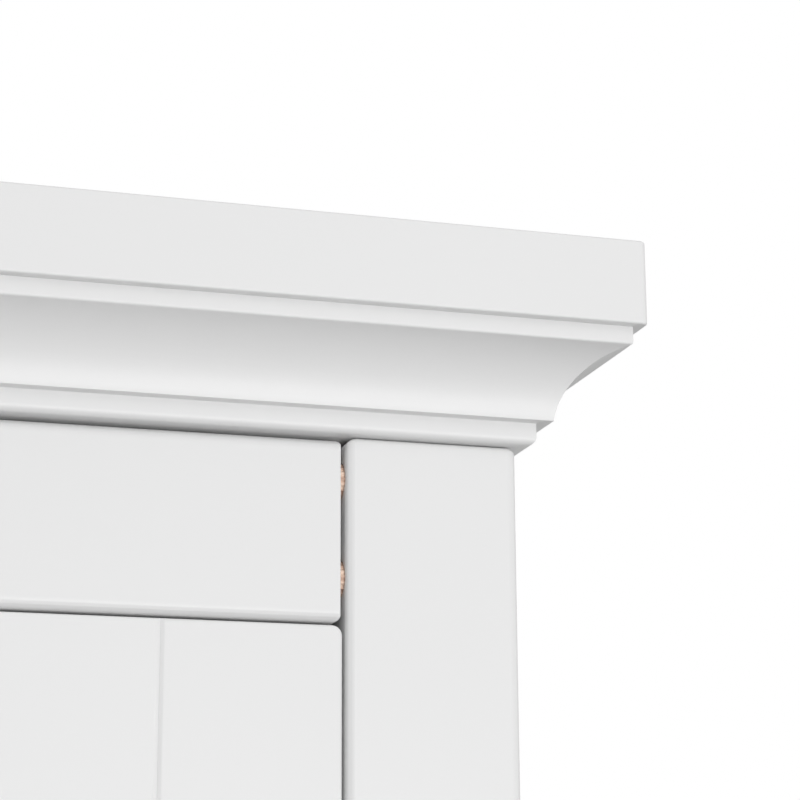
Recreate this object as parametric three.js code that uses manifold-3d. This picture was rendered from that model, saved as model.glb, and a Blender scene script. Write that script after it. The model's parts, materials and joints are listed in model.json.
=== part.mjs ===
// A white painted wooden armoire. Two inset frame-and-panel doors hang over one wide drawer in a doweled
// face frame. A slab top sits on a mitred crown moulding, and a mitred plinth closes the base.
// Millimetres. X runs left to right, Y from front to back, Z up from the floor.
import * as THREE from 'three';
import { mergeVertices } from 'three/addons/utils/BufferGeometryUtils.js';
import Module from 'manifold-3d';

const wasm = await Module();
wasm.setup();

// Driving dimensions of the whole case
const height = 1830; // floor to the top of the slab
const caseWidth = 940; // outside of one stile to the outside of the other
const caseDepth = 530; // front of the face frame to the back edges of the sides
const stock = 18; // thickness of the boards: face frame, doors, sides and floors
const member = 50; // width of a stile, of a rail and of the doors' frames
const fit = 0.3; // gap left wherever two pieces meet
const ease = 2; // eased edge of a painted board
const thinEase = 0.6; // eased edge of thin stock and of hidden wood
const backThick = 6;

// Top
const slabThick = 24.5;
const slabOver = 29.5; // overhang of the slab, front and sides
const crownTall = 30;
const crownIn = 22; // how far the crown's frame reaches in over the carcass
const carcassTop = height - slabThick - crownTall - fit;
const topRailTall = 51;

// Openings in the face frame, as heights above the floor
const railGap = 1.5; // slot between a rail's end and the stile, where the dowels show
const topRailTop = carcassTop - 1;
const doorOpeningTop = topRailTop - topRailTall;
const floorTop = 385; // floor of the hanging space, level with the middle rail
const drawerOpeningTop = floorTop - member;
const drawerOpeningBottom = 135;
const openingWidth = caseWidth - 2 * member;
const insideWidth = caseWidth - 2 * stock; // between the side panels

// Base
const plinthTall = 95;
const plinthOut = 14;

// Doors and hinges
const doorGap = 1; // at the hinge side and at the top
const meetingGap = 2; // between the two doors
const doorBottomGap = 2;
const doorWidth = (openingWidth - 2 * doorGap - meetingGap) / 2;
const doorBottom = floorTop + doorBottomGap;
const doorTall = doorOpeningTop - doorGap - doorBottom;
const hingeTall = 50;
const hingeHeights = [120, doorTall / 2, doorTall - 120]; // centres above the door's lower edge
const pinOut = 5.4; // hinge pin's axis in front of the doors' faces
const knuckleRadius = 4.4;
const knobHeight = 1060; // door knobs above the floor

// Each finish is a plain description of one real surface.
const finishes = {
  whitePaint: { color: 0xe9e9e8, roughness: 0.42, metalness: 0 },
  bareWood: { color: 0xd9b88f, roughness: 0.7, metalness: 0 },
  plywood: { color: 0xdcc29a, roughness: 0.75, metalness: 0 },
  nickel: { color: 0xb9b6b0, roughness: 0.32, metalness: 1 },
  chrome: { color: 0xdddddf, roughness: 0.12, metalness: 1 },
};

// Shapes

// A closed board about its own centre, with all its edges eased by a small chamfer.
function board([width, depth, tall], eased = ease) {
  const halfX = width / 2 - eased;
  const halfY = depth / 2 - eased;
  const corner = eased * (Math.SQRT2 - 1);
  const outline = new THREE.Shape([
    new THREE.Vector2(halfX - corner, -halfY),
    new THREE.Vector2(halfX, corner - halfY),
    new THREE.Vector2(halfX, halfY - corner),
    new THREE.Vector2(halfX - corner, halfY),
    new THREE.Vector2(corner - halfX, halfY),
    new THREE.Vector2(-halfX, halfY - corner),
    new THREE.Vector2(-halfX, corner - halfY),
    new THREE.Vector2(corner - halfX, -halfY),
  ]);
  const geometry = new THREE.ExtrudeGeometry(outline, {
    depth: tall - 2 * eased,
    bevelThickness: eased,
    bevelSize: eased,
    bevelSegments: 1,
  });
  return geometry.translate(0, 0, eased - tall / 2);
}

// A square-edged block, mostly used to cut grooves and mortises.
function block(size, at) {
  return new THREE.BoxGeometry(...size).translate(...at);
}

// A round bar along X about a point.
function barAlongX(radius, length, at, sides = 12) {
  return new THREE.CylinderGeometry(radius, radius, length, sides).rotateZ(Math.PI / 2).translate(...at);
}

// A round bar along Y about a point.
function barAlongY(radius, length, at, sides = 12) {
  return new THREE.CylinderGeometry(radius, radius, length, sides).translate(...at);
}

// A round bar along Z about a point.
function barAlongZ(radius, length, at, sides = 12) {
  return new THREE.CylinderGeometry(radius, radius, length, sides).rotateX(Math.PI / 2).translate(...at);
}

// A turned solid about the Z axis, from [radius, height] points listed from the foot up.
function turned(points, sides) {
  return new THREE.LatheGeometry(points.map(([radius, up]) => new THREE.Vector2(radius, up)), sides)
    .rotateX(Math.PI / 2);
}

function toSolid(geometry) {
  const bare = geometry.clone();
  bare.deleteAttribute('normal');
  bare.deleteAttribute('uv');
  const merged = mergeVertices(bare);
  return new wasm.Manifold(new wasm.Mesh({
    numProp: 3,
    vertProperties: Float32Array.from(merged.attributes.position.array),
    triVerts: Uint32Array.from(merged.index.array),
  }));
}

function toGeometry(solid) {
  const mesh = solid.getMesh();
  const geometry = new THREE.BufferGeometry();
  geometry.setAttribute('position', new THREE.BufferAttribute(mesh.vertProperties, 3));
  geometry.setIndex(new THREE.BufferAttribute(mesh.triVerts, 1));
  geometry.computeVertexNormals();
  return geometry;
}

function join(pieces) {
  return toGeometry(pieces.map(toSolid).reduce((whole, piece) => whole.add(piece)));
}

function cut(base, tools) {
  return toGeometry(tools.map(toSolid).reduce((rest, tool) => rest.subtract(tool), toSolid(base)));
}

// Scene graph helpers

// The case's own frame has Y = 0 at the front of the face frame. The whole armoire is centred over the floor.
const armoire = new THREE.Group();
armoire.position.y = (slabOver - caseDepth) / 2;

function part(name, geometry, finish, [x, y, z], parent = armoire) {
  const mesh = new THREE.Mesh(geometry, new THREE.MeshStandardMaterial(finishes[finish]));
  mesh.name = name;
  mesh.position.set(x, y, z);
  parent.add(mesh);
}

function sideName(side) {
  return side < 0 ? 'left' : 'right';
}

// Crown and plinth: one moulded section each, run along the front and both sides, and mitred at the corners

// The crown's section, as distance out from the case and height above the carcass: a round-edged band,
// a small step, a cove and a fillet.
function crownSection() {
  const bandOut = 4.5;
  const bandTall = 6.2;
  const bandRound = 2;
  const coveFoot = [8.4, 6.8];
  const coveHead = [26, 25.3];
  const coveDepth = 4; // hollow of the cove, measured from the straight line between its ends
  const section = new THREE.Shape();
  section.moveTo(-crownIn, 0);
  section.lineTo(bandOut - bandRound, 0);
  section.absarc(bandOut - bandRound, bandRound, bandRound, -Math.PI / 2, 0, false);
  section.lineTo(bandOut, bandTall);
  section.lineTo(coveFoot[0], bandTall);
  hollow(section, coveFoot, coveHead, coveDepth);
  section.lineTo(coveHead[0], crownTall);
  section.lineTo(-crownIn, crownTall);
  return section;
}

// The plinth's section: a flat board whose top edge runs back in a small cove.
function plinthSection() {
  const coveFoot = [plinthOut, plinthTall - 18];
  const coveHead = [5, plinthTall - 6];
  const section = new THREE.Shape();
  section.moveTo(fit, 0);
  section.lineTo(plinthOut, 0);
  section.lineTo(...coveFoot);
  hollow(section, coveFoot, coveHead, 3);
  section.lineTo(coveHead[0], plinthTall);
  section.lineTo(fit, plinthTall);
  return section;
}

// Continues a section from one point to another in a concave arc, `depth` deep from the straight line.
function hollow(section, from, to, depth) {
  const across = to[0] - from[0];
  const up = to[1] - from[1];
  const chord = Math.hypot(across, up);
  const radius = (chord * chord) / (8 * depth) + depth / 2;
  const reach = (radius - depth) / chord;
  const centreX = (from[0] + to[0]) / 2 + up * reach;
  const centreY = (from[1] + to[1]) / 2 - across * reach;
  const [start, end] = [from, to].map(([x, y]) => Math.atan2(y - centreY, x - centreX));
  section.absarc(centreX, centreY, radius, start, end, true);
}

// A length of moulding. `place` puts a point of the section, at either end (0 or 1), in the case's frame.
function moulding(section, place) {
  const geometry = new THREE.ExtrudeGeometry(section, { depth: 1, bevelEnabled: false, curveSegments: 8 });
  const points = geometry.attributes.position;
  for (let i = 0; i < points.count; i += 1) {
    points.setXYZ(i, ...place(points.getX(i), points.getY(i), points.getZ(i)));
  }
  geometry.computeVertexNormals();
  return geometry;
}

function mitredMouldings(name, section, bottom) {
  const front = moulding(section, (out, up, end) => [(0.5 - end) * (caseWidth + 2 * out - fit), -out, up]);
  part(`${name}_front`, front, 'whitePaint', [0, 0, bottom]);
  for (const side of [-1, 1]) {
    const run = moulding(section, (out, up, end) => {
      const toBack = side < 0 ? end : 1 - end;
      return [side * (caseWidth / 2 + out), THREE.MathUtils.lerp(fit - out, caseDepth, toBack), up];
    });
    part(`${name}_${sideName(side)}`, run, 'whitePaint', [0, 0, bottom]);
  }
}

// Top

function addTop() {
  const slab = board([caseWidth + 2 * slabOver, caseDepth + slabOver, slabThick]);
  part('top_slab', slab, 'whitePaint', [0, (caseDepth - slabOver) / 2, height - slabThick / 2]);
  mitredMouldings('crown', crownSection(), carcassTop);
  const tall = 60;
  const backRail = board([caseWidth - 2 * (crownIn + fit), stock, tall], thinEase);
  const at = [0, caseDepth - backThick - fit - stock / 2, height - slabThick - fit - tall / 2];
  part('top_back_rail', backRail, 'whitePaint', at);
}

// Face frame: two stiles, three rails and the dowels that join them

const dowelRadius = 5;
const dowelHole = 5.3;
const dowelLength = 40;
const dowelIn = 7; // dowel's axis behind the face of the frame
const dowelDrop = 10.6; // first dowel's axis below the top of a rail
const dowelPitch = 27.7;

const rails = [
  { name: 'top_rail', top: topRailTop, tall: topRailTall },
  { name: 'middle_rail', top: floorTop, tall: member },
  { name: 'bottom_rail', top: drawerOpeningBottom, tall: member },
];

function dowelHeights(rail) {
  return [rail.top - dowelDrop, rail.top - dowelDrop - dowelPitch];
}

function addStiles() {
  const tall = carcassTop - fit;
  for (const side of [-1, 1]) {
    const innerEdge = -side * member / 2;
    const holes = rails.flatMap(dowelHeights).map((up) => (
      barAlongX(dowelHole, dowelLength, [innerEdge, dowelIn - stock / 2, up - tall / 2])));
    const mortises = hingeHeights.map((up) => hingeMortise(innerEdge, doorBottom + up - tall / 2));
    const stile = cut(board([member, stock, tall]), [...holes, ...mortises]);
    const at = [side * (caseWidth - member) / 2, stock / 2, tall / 2];
    part(`${sideName(side)}_stile`, stile, 'whitePaint', at);
  }
}

function addRails() {
  const length = openingWidth - 2 * railGap;
  for (const rail of rails) {
    const middle = rail.top - rail.tall / 2;
    const holes = [-1, 1].flatMap((side) => dowelHeights(rail).map((up) => (
      barAlongX(dowelHole, dowelLength, [side * length / 2, dowelIn - stock / 2, up - middle]))));
    const piece = cut(board([length, stock, rail.tall]), holes);
    part(rail.name, piece, 'whitePaint', [0, stock / 2, middle]);
  }
}

function addTopRailDowels() {
  const [upper, lower] = dowelHeights(rails[0]);
  for (const side of [-1, 1]) {
    for (const [which, up] of [['upper', upper], ['lower', lower]]) {
      const dowel = barAlongX(dowelRadius, dowelLength - 2 * fit, [0, 0, 0]);
      const at = [side * (openingWidth - railGap) / 2, dowelIn, up];
      part(`${sideName(side)}_${which}_dowel`, dowel, 'bareWood', at);
    }
  }
}

// Carcass behind the face frame: the shelf and both floors stand on tongues in grooves in the sides

const housing = 6; // depth of the grooves
const shelves = [
  { name: 'hat_shelf', top: 1420, thick: stock, front: 60 },
  { name: 'wardrobe_floor', top: floorTop, thick: stock, front: stock + fit },
  { name: 'base_panel', top: drawerOpeningBottom - 15, thick: 12, front: stock + fit },
];
const shelfBack = caseDepth - backThick - fit;

// A tongue is the lower half of its board's thickness.
function tongueMiddle({ top, thick }) {
  return top - thick * 3 / 4;
}

function addSides() {
  const tall = carcassTop - fit;
  const depth = caseDepth - stock - fit;
  const middle = [stock + fit + depth / 2, tall / 2];
  for (const side of [-1, 1]) {
    const grooves = shelves.map((shelf) => {
      const long = caseDepth + stock - shelf.front;
      const fromFront = shelf.front - fit + long / 2;
      const at = [-side * stock / 2, fromFront - middle[0], tongueMiddle(shelf) - middle[1]];
      return block([2 * housing, long, shelf.thick / 2 + 2 * fit], at);
    });
    const panel = cut(board([stock, depth, tall], thinEase), grooves);
    part(`${sideName(side)}_side_panel`, panel, 'whitePaint', [side * (caseWidth - stock) / 2, ...middle]);
  }
}

function addShelves() {
  for (const shelf of shelves) {
    const { name, top, thick, front } = shelf;
    const depth = shelfBack - front;
    const middle = top - thick / 2;
    const tongues = [insideWidth + 2 * (housing - fit), depth - 2 * thinEase, thick / 2 - thinEase];
    const drop = tongueMiddle(shelf) - middle + thinEase / 2;
    const between = board([insideWidth - 2 * fit, depth, thick], thinEase);
    const shape = join([between, block(tongues, [0, 0, drop])]);
    part(name, shape, 'whitePaint', [0, (shelfBack + front) / 2, middle]);
  }
}

function addBack() {
  const bottom = 60;
  const top = carcassTop - fit;
  const panel = board([insideWidth - 2 * fit, backThick, top - bottom], thinEase);
  part('back_panel', panel, 'whitePaint', [0, caseDepth - backThick / 2, (top + bottom) / 2]);
}

// Hanging rod: a tube held in a cup at either end

const rodRadius = 12.5;
const rodHeight = 1345;
const rodIn = 275;
const cupBase = 3;
const cupTall = 14;

function addRod() {
  const half = insideWidth / 2;
  const inner = rodRadius - 1.5;
  const length = insideWidth - 2 * (cupBase + 2 * fit);
  const ring = [[inner, 0], [rodRadius, 0], [rodRadius, length], [inner, length], [inner, 0]];
  part('hanging_rod', turned(ring, 16).rotateY(Math.PI / 2), 'chrome', [-length / 2, rodIn, rodHeight]);
  const cup = [
    [0, 0], [24, 0], [23, cupBase], [16, cupBase], [16, cupTall], [rodRadius + 2 * fit, cupTall],
    [rodRadius + 2 * fit, cupBase], [0, cupBase],
  ];
  for (const side of [-1, 1]) {
    const shape = turned(cup, 16).rotateY(-side * Math.PI / 2);
    part(`${sideName(side)}_rod_cup`, shape, 'chrome', [side * (half - fit), rodIn, rodHeight]);
  }
}

// Hinges: three fast-pin butt hinges to a door. One leaf is let into the stile and carries the riveted pin,
// the other is let into the door and turns on the pin.

const leafThick = 1.8;
const leafGap = 0.4; // between the two leaves when the door is shut
const leafDeep = 14;
const pinRadius = 1.8;
const pinFromEdge = doorGap / 2; // pin's axis, from the edge of the stile and from the edge of the door
const knuckleTall = hingeTall / 3;

// The pocket for one leaf, in a board edge at x = `edge`.
function hingeMortise(edge, up) {
  const deep = leafThick + leafGap / 2 - pinFromEdge + fit;
  return block([2 * deep, 2 * (leafDeep + fit), hingeTall + 2 * fit], [edge, -stock / 2, up]);
}

// One leaf about the pin's axis, lying on side `way` (-1 or 1) of it, with two countersunk screw holes.
// `knuckles` are [bottom, top] heights.
function hingeLeaf(way, knuckles) {
  const plateX = way * (leafGap + leafThick) / 2;
  const plateFront = pinOut - 0.6;
  const plateDeep = leafDeep + 0.6;
  const plate = block([leafThick, plateDeep, hingeTall], [plateX, plateFront + plateDeep / 2, 0]);
  const rolls = knuckles.flatMap(([low, high]) => [
    barAlongZ(knuckleRadius, high - low, [0, 0, (low + high) / 2]),
    block([leafThick, plateFront + 0.2, high - low], [plateX, (plateFront + 0.2) / 2, (low + high) / 2]),
  ]);
  const sinks = [-1, 1].map((end) => {
    const section = [[0, -0.5], [3.7, -0.5], [1.8, 1.4], [1.8, leafThick + 0.5], [0, leafThick + 0.5]];
    const hole = turned(section, 8);
    return hole.rotateY(way * Math.PI / 2).translate(way * leafGap / 2, pinOut + 9, end * 15);
  });
  return cut(join([plate, ...rolls]), sinks);
}

// The leaf in the frame: an upper and a lower knuckle, and the pin through them, headed at both ends.
function frameLeaf(side) {
  const half = hingeTall / 2;
  const open = knuckleTall / 2 + fit / 2;
  const head = [[pinRadius, half + 0.6], [3, half + 1.2], [2.2, half + 2.6], [0, half + 3]];
  const foot = head.map(([radius, up]) => [radius, -up]).reverse();
  const pin = turned([...foot, ...head], 8);
  return join([hingeLeaf(side, [[-half, -open], [open, half]]), pin]);
}

// The leaf in the door: a middle knuckle, bored to turn on the pin.
function doorLeaf(side) {
  const half = knuckleTall / 2 - fit / 2;
  return cut(hingeLeaf(-side, [[-half, half]]), [barAlongZ(pinRadius + fit, knuckleTall, [0, 0, 0])]);
}

const hingePlaces = ['lower', 'middle', 'upper'];

function addFrameHinges() {
  for (const side of [-1, 1]) {
    hingePlaces.forEach((place, index) => {
      const at = [side * (openingWidth / 2 - pinFromEdge), -pinOut, doorBottom + hingeHeights[index]];
      part(`${sideName(side)}_${place}_hinge_frame_leaf`, frameLeaf(side), 'nickel', at);
    });
  }
}

// A strip behind the top rail that the doors close against

function addDoorStop() {
  part('door_stop', board([180, stock, 60]), 'whitePaint', [0, stock + fit + stock / 2, doorOpeningTop + 8]);
}

// A turned wooden knob about its seat on the face, pointing forward, with a tenon glued into the board behind

const knobOut = 27;
const tenonRadius = 5;
const tenonLong = 13;

function knob() {
  return turned([
    [0, -tenonLong], [tenonRadius, -tenonLong], [tenonRadius, fit], [10, fit], [9.5, 2.5], [6.5, 7],
    [8, 12], [14, 16], [15.5, 20], [13.5, 24.5], [0, knobOut],
  ], 16).rotateX(Math.PI / 2);
}

// The blind hole for a knob's tenon, in the face of a board about its own centre.
function knobHole(x, up) {
  return barAlongY(tenonRadius + 2 * fit, 2 * (tenonLong + fit), [x, -stock / 2, up], 16);
}

// Doors

const grooveDeep = 8;
const panelThick = 8;
const panelIn = 6.5; // front of the panel behind the face of the door
const grooveY = panelIn + panelThick / 2 - stock / 2;

function addDoor(side) {
  const door = new THREE.Group();
  door.position.set(side * (meetingGap + doorWidth) / 2, 0, doorBottom);
  armoire.add(door);
  const name = `${sideName(side)}_door`;
  addDoorStiles(door, name, side);
  addDoorRails(door, name);
  addDoorPanel(door, name);
  addDoorFittings(door, name, side);
}

function addDoorStiles(door, name, side) {
  const fromCentre = (doorWidth - member) / 2;
  for (const way of [-side, side]) {
    const hinged = way === side;
    const grooveSize = [2 * grooveDeep, panelThick + 2 * fit, doorTall + 2];
    const groove = block(grooveSize, [-way * member / 2, grooveY, 0]);
    const mortises = hingeHeights.map((up) => hingeMortise(side * member / 2, up - doorTall / 2));
    const fittings = hinged ? mortises : [knobHole(0, knobHeight - doorBottom - doorTall / 2)];
    const stile = cut(board([member, stock, doorTall]), [groove, ...fittings]);
    const which = hinged ? 'hinge_stile' : 'meeting_stile';
    part(`${name}_${which}`, stile, 'whitePaint', [way * fromCentre, stock / 2, doorTall / 2], door);
  }
}

// Rails with a groove for the panel and a stub tenon at each end that fills the stiles' grooves.
function addDoorRails(door, name) {
  const width = doorWidth - 2 * member - 2 * fit;
  const shoulder = 6; // the tenon stops short of the door's outer edge
  const tenonTall = member - grooveDeep - shoulder;
  for (const [which, way] of [['bottom_rail', 1], ['top_rail', -1]]) {
    const groove = block([width + 2, panelThick + 2 * fit, 2 * grooveDeep], [0, grooveY, way * member / 2]);
    const tenonUp = way * (shoulder - grooveDeep) / 2;
    const tenon = block([width + 2 * (grooveDeep - fit), panelThick, tenonTall], [0, grooveY, tenonUp]);
    const rail = join([cut(board([width, stock, member]), [groove]), tenon]);
    const up = way > 0 ? member / 2 : doorTall - member / 2;
    part(`${name}_${which}`, rail, 'whitePaint', [0, stock / 2, up], door);
  }
}

function addDoorPanel(door, name) {
  const border = member - grooveDeep + 1;
  const panel = board([doorWidth - 2 * border, panelThick, doorTall - 2 * border], thinEase);
  part(`${name}_panel`, panel, 'whitePaint', [0, panelIn + panelThick / 2, doorTall / 2], door);
}

function addDoorFittings(door, name, side) {
  const knobX = -side * (doorWidth - member) / 2;
  part(`${name}_knob`, knob(), 'whitePaint', [knobX, 0, knobHeight - doorBottom], door);
  hingePlaces.forEach((place, index) => {
    const at = [side * (doorWidth / 2 + pinFromEdge), -pinOut, hingeHeights[index]];
    part(`${name}_${place}_hinge_leaf`, doorLeaf(side), 'nickel', at, door);
  });
}

// Drawer

const drawerGap = 1.5;
const frontTall = drawerOpeningTop - drawerOpeningBottom - 2 * drawerGap;
const frontMiddle = (drawerOpeningTop + drawerOpeningBottom) / 2;
const boxWidth = openingWidth - 10;
const boxThick = 12;
const boxBottom = drawerOpeningBottom + 8;
const boxTall = 160;
const boxBack = 480; // back of the drawer box behind the face of its front
const trayThick = 5;
const trayBottom = boxBottom + 8;
const trayIn = 6; // how far the drawer's bottom runs into its groove
const drawerKnobX = 210;

// The groove that holds the drawer's bottom, in a board about its own centre.
function trayGroove(width, depth, x, y, up) {
  return block([width, depth, trayThick + 2 * fit], [x, y, trayBottom + trayThick / 2 - up]);
}

function addDrawerFront(drawer) {
  const sides = [-1, 1];
  const groove = trayGroove(boxWidth - 2 * boxThick + 2 * trayIn, 2 * trayIn, 0, stock / 2, frontMiddle);
  const holes = sides.map((side) => knobHole(side * drawerKnobX, 0));
  const front = cut(board([openingWidth - 2 * drawerGap, stock, frontTall]), [groove, ...holes]);
  part('drawer_front', front, 'whitePaint', [0, stock / 2, frontMiddle], drawer);
  for (const side of sides) {
    part(`drawer_${sideName(side)}_knob`, knob(), 'whitePaint', [side * drawerKnobX, 0, frontMiddle], drawer);
  }
}

function addDrawerBox(drawer) {
  const deep = boxBack - stock - fit;
  const middle = [stock + fit + deep / 2, boxBottom + boxTall / 2];
  for (const side of [-1, 1]) {
    const groove = trayGroove(2 * trayIn, deep + 2, -side * boxThick / 2, 0, middle[1]);
    const panel = cut(board([boxThick, deep, boxTall], thinEase), [groove]);
    const at = [side * (boxWidth - boxThick) / 2, ...middle];
    part(`drawer_${sideName(side)}_side`, panel, 'bareWood', at, drawer);
  }
  const between = boxWidth - 2 * boxThick - 2 * fit;
  const backLow = trayBottom + trayThick + fit;
  const backHigh = boxBottom + boxTall;
  const back = board([between, boxThick, backHigh - backLow], thinEase);
  part('drawer_back', back, 'bareWood', [0, boxBack - boxThick / 2, (backLow + backHigh) / 2], drawer);
  const trayFront = stock - trayIn + 2 * fit;
  const tray = board([between + 2 * trayIn, boxBack - trayFront, trayThick], thinEase);
  part('drawer_bottom', tray, 'plywood', [0, (boxBack + trayFront) / 2, trayBottom + trayThick / 2], drawer);
}

function addDrawer() {
  const drawer = new THREE.Group();
  armoire.add(drawer);
  addDrawerFront(drawer);
  addDrawerBox(drawer);
}

// An L-shaped wooden runner inside each side panel: the drawer's side slides on the ledge, against the guide.
function addRunners() {
  const ledgeTall = 14;
  const guideTall = 30;
  const outer = insideWidth / 2 - fit;
  const guideInner = boxWidth / 2 + 1;
  const ledgeInner = boxWidth / 2 - boxThick - 4;
  const front = stock + fit;
  const length = shelfBack - front;
  for (const side of [-1, 1]) {
    const runner = join([
      block([outer - ledgeInner, length, ledgeTall], [side * (outer + ledgeInner) / 2, 0, -ledgeTall / 2]),
      block([outer - guideInner, length, guideTall], [side * (outer + guideInner) / 2, 0, guideTall / 2]),
    ]);
    const at = [0, front + length / 2, boxBottom - fit];
    part(`${sideName(side)}_drawer_runner`, runner, 'bareWood', at);
  }
}

addTop();
mitredMouldings('plinth', plinthSection(), 0);
addStiles();
addRails();
addTopRailDowels();
addSides();
addShelves();
addBack();
addRod();
addRunners();
addFrameHinges();
addDoorStop();
addDoor(-1);
addDoor(1);
addDrawer();

export default armoire;
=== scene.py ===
import json
import math

import bmesh
import bpy
from mathutils import Matrix, Vector


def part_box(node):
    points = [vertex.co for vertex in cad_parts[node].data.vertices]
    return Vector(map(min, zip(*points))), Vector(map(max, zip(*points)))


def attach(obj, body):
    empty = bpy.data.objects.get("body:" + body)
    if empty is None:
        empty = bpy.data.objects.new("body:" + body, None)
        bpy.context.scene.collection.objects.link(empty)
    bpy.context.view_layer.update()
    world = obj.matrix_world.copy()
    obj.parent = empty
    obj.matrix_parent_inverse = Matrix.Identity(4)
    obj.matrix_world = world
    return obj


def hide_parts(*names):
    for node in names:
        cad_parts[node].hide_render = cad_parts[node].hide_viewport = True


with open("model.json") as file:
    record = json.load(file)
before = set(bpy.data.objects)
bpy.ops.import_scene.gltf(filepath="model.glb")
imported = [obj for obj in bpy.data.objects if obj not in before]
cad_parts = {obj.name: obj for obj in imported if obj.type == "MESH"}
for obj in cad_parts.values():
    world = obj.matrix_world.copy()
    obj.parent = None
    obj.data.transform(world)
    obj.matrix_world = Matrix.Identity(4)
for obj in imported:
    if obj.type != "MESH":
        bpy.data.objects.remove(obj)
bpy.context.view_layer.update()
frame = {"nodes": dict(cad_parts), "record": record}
mm = 0.001
axisNames = "XYZ"
sides = {"left": -1, "right": 1}
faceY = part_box("left_stile")[0].y  # front of the face frame
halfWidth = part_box("right_stile")[1].x  # of the case, without its mouldings
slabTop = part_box("top_slab")[1].z


def middleOf(node):
    low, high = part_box(node)
    return (low + high) / 2


# X of the face of a node that looks along `way`, -1 for its left face and 1 for its right one
def faceX(node, way):
    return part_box(node)[way > 0].x


def camelName(node):
    first, *rest = node.split("_")
    return first + "".join(word.capitalize() for word in rest)


def bodyOf(node):
    bodies = frame["record"]["behaviour"]["bodies"]
    return next(body for body, members in bodies.items() if node in members)


# Materials. Patterns are laid out in metres, and `axis` is the axis of the grain

def startMaterial(name):
    material = bpy.data.materials.new(name)
    material.use_nodes = True
    tree = material.node_tree
    coordinates = tree.nodes.new("ShaderNodeTexCoord")
    return material, tree, tree.nodes["Principled BSDF"], coordinates.outputs["Object"]


# `along` and `across` are repeats to the metre with and across the grain
def grainScale(axis, along, across):
    return [along if i == axis else across for i in range(3)]


def addNoise(tree, vector, scale, detail=2.0, roughness=0.5):
    mapping = tree.nodes.new("ShaderNodeMapping")
    mapping.inputs["Scale"].default_value = scale
    noise = tree.nodes.new("ShaderNodeTexNoise")
    noise.inputs["Scale"].default_value = 1
    noise.inputs["Detail"].default_value = detail
    noise.inputs["Roughness"].default_value = roughness
    tree.links.new(vector, mapping.inputs["Vector"])
    tree.links.new(mapping.outputs["Vector"], noise.inputs["Vector"])
    return noise.outputs["Fac"]


def addRings(tree, vector, axis, rings, warp):
    mapping = tree.nodes.new("ShaderNodeMapping")
    mapping.inputs["Scale"].default_value = grainScale(axis, 0.12, 1)
    mapping.inputs["Location"].default_value = (0.31, 0.17, 0.23)
    wave = tree.nodes.new("ShaderNodeTexWave")
    wave.wave_type = "RINGS"
    wave.rings_direction = axisNames[axis]
    wave.inputs["Scale"].default_value = rings
    wave.inputs["Distortion"].default_value = warp
    wave.inputs["Detail"].default_value = 3
    wave.inputs["Detail Scale"].default_value = 1.4
    tree.links.new(vector, mapping.inputs["Vector"])
    tree.links.new(mapping.outputs["Vector"], wave.inputs["Vector"])
    return wave.outputs["Fac"]


def addRamp(tree, factor, stops):
    ramp = tree.nodes.new("ShaderNodeValToRGB")
    elements = ramp.color_ramp.elements
    while len(elements) < len(stops):
        elements.new(0.5)
    for element, (place, colour) in zip(elements, stops):
        element.position = place
        element.color = (*colour, 1)
    tree.links.new(factor, ramp.inputs["Fac"])
    return ramp.outputs["Color"]


def addRange(tree, value, low, high):
    mapRange = tree.nodes.new("ShaderNodeMapRange")
    mapRange.inputs["To Min"].default_value = low
    mapRange.inputs["To Max"].default_value = high
    tree.links.new(value, mapRange.inputs["Value"])
    return mapRange.outputs["Result"]


def addBump(tree, height, distance, before=None):
    bump = tree.nodes.new("ShaderNodeBump")
    bump.inputs["Distance"].default_value = distance
    tree.links.new(height, bump.inputs["Height"])
    if before:
        tree.links.new(before, bump.inputs["Normal"])
    return bump.outputs["Normal"]


paint = {
    "colours": [(0.3, (0.765, 0.765, 0.765)), (0.7, (0.79, 0.79, 0.79))],
    "roughness": (0.36, 0.46),
    "grain": (5, 420),  # shows faintly through the paint
    "grainDepth": 0.02 * mm,
    "peel": 700,  # fine spray texture
    "peelDepth": 0.008 * mm,
}


def makePaint(name, axis):
    material, tree, shader, place = startMaterial(name)
    cloud = addNoise(tree, place, (3, 3, 3), 3)
    grain = addNoise(tree, place, grainScale(axis, *paint["grain"]), 3, 0.6)
    peel = addNoise(tree, place, [paint["peel"]] * 3, 2)
    tree.links.new(addRamp(tree, cloud, paint["colours"]), shader.inputs["Base Color"])
    tree.links.new(addRange(tree, grain, *paint["roughness"]), shader.inputs["Roughness"])
    relief = addBump(tree, grain, paint["grainDepth"])
    relief = addBump(tree, peel, paint["peelDepth"], relief)
    tree.links.new(relief, shader.inputs["Normal"])
    return material


woods = {
    "pine": {
        "colours": [(0.25, (0.80, 0.61, 0.40)), (0.6, (0.76, 0.55, 0.34)), (0.88, (0.66, 0.44, 0.25))],
        "rings": 34, "warp": 5, "fibre": (12, 900), "depth": 0.05 * mm, "roughness": (0.55, 0.7),
    },
    "beech": {
        "colours": [(0.2, (0.86, 0.66, 0.53)), (0.6, (0.78, 0.56, 0.44)), (0.9, (0.52, 0.33, 0.25))],
        "rings": 90, "warp": 2, "fibre": (60, 2600), "depth": 0.06 * mm, "roughness": (0.6, 0.75),
    },
    "plywood": {
        "colours": [(0.2, (0.80, 0.65, 0.45)), (0.55, (0.76, 0.58, 0.38)), (0.9, (0.66, 0.47, 0.28))],
        "rings": 9, "warp": 9, "fibre": (8, 700), "depth": 0.03 * mm, "roughness": (0.6, 0.75),
    },
}


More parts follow.
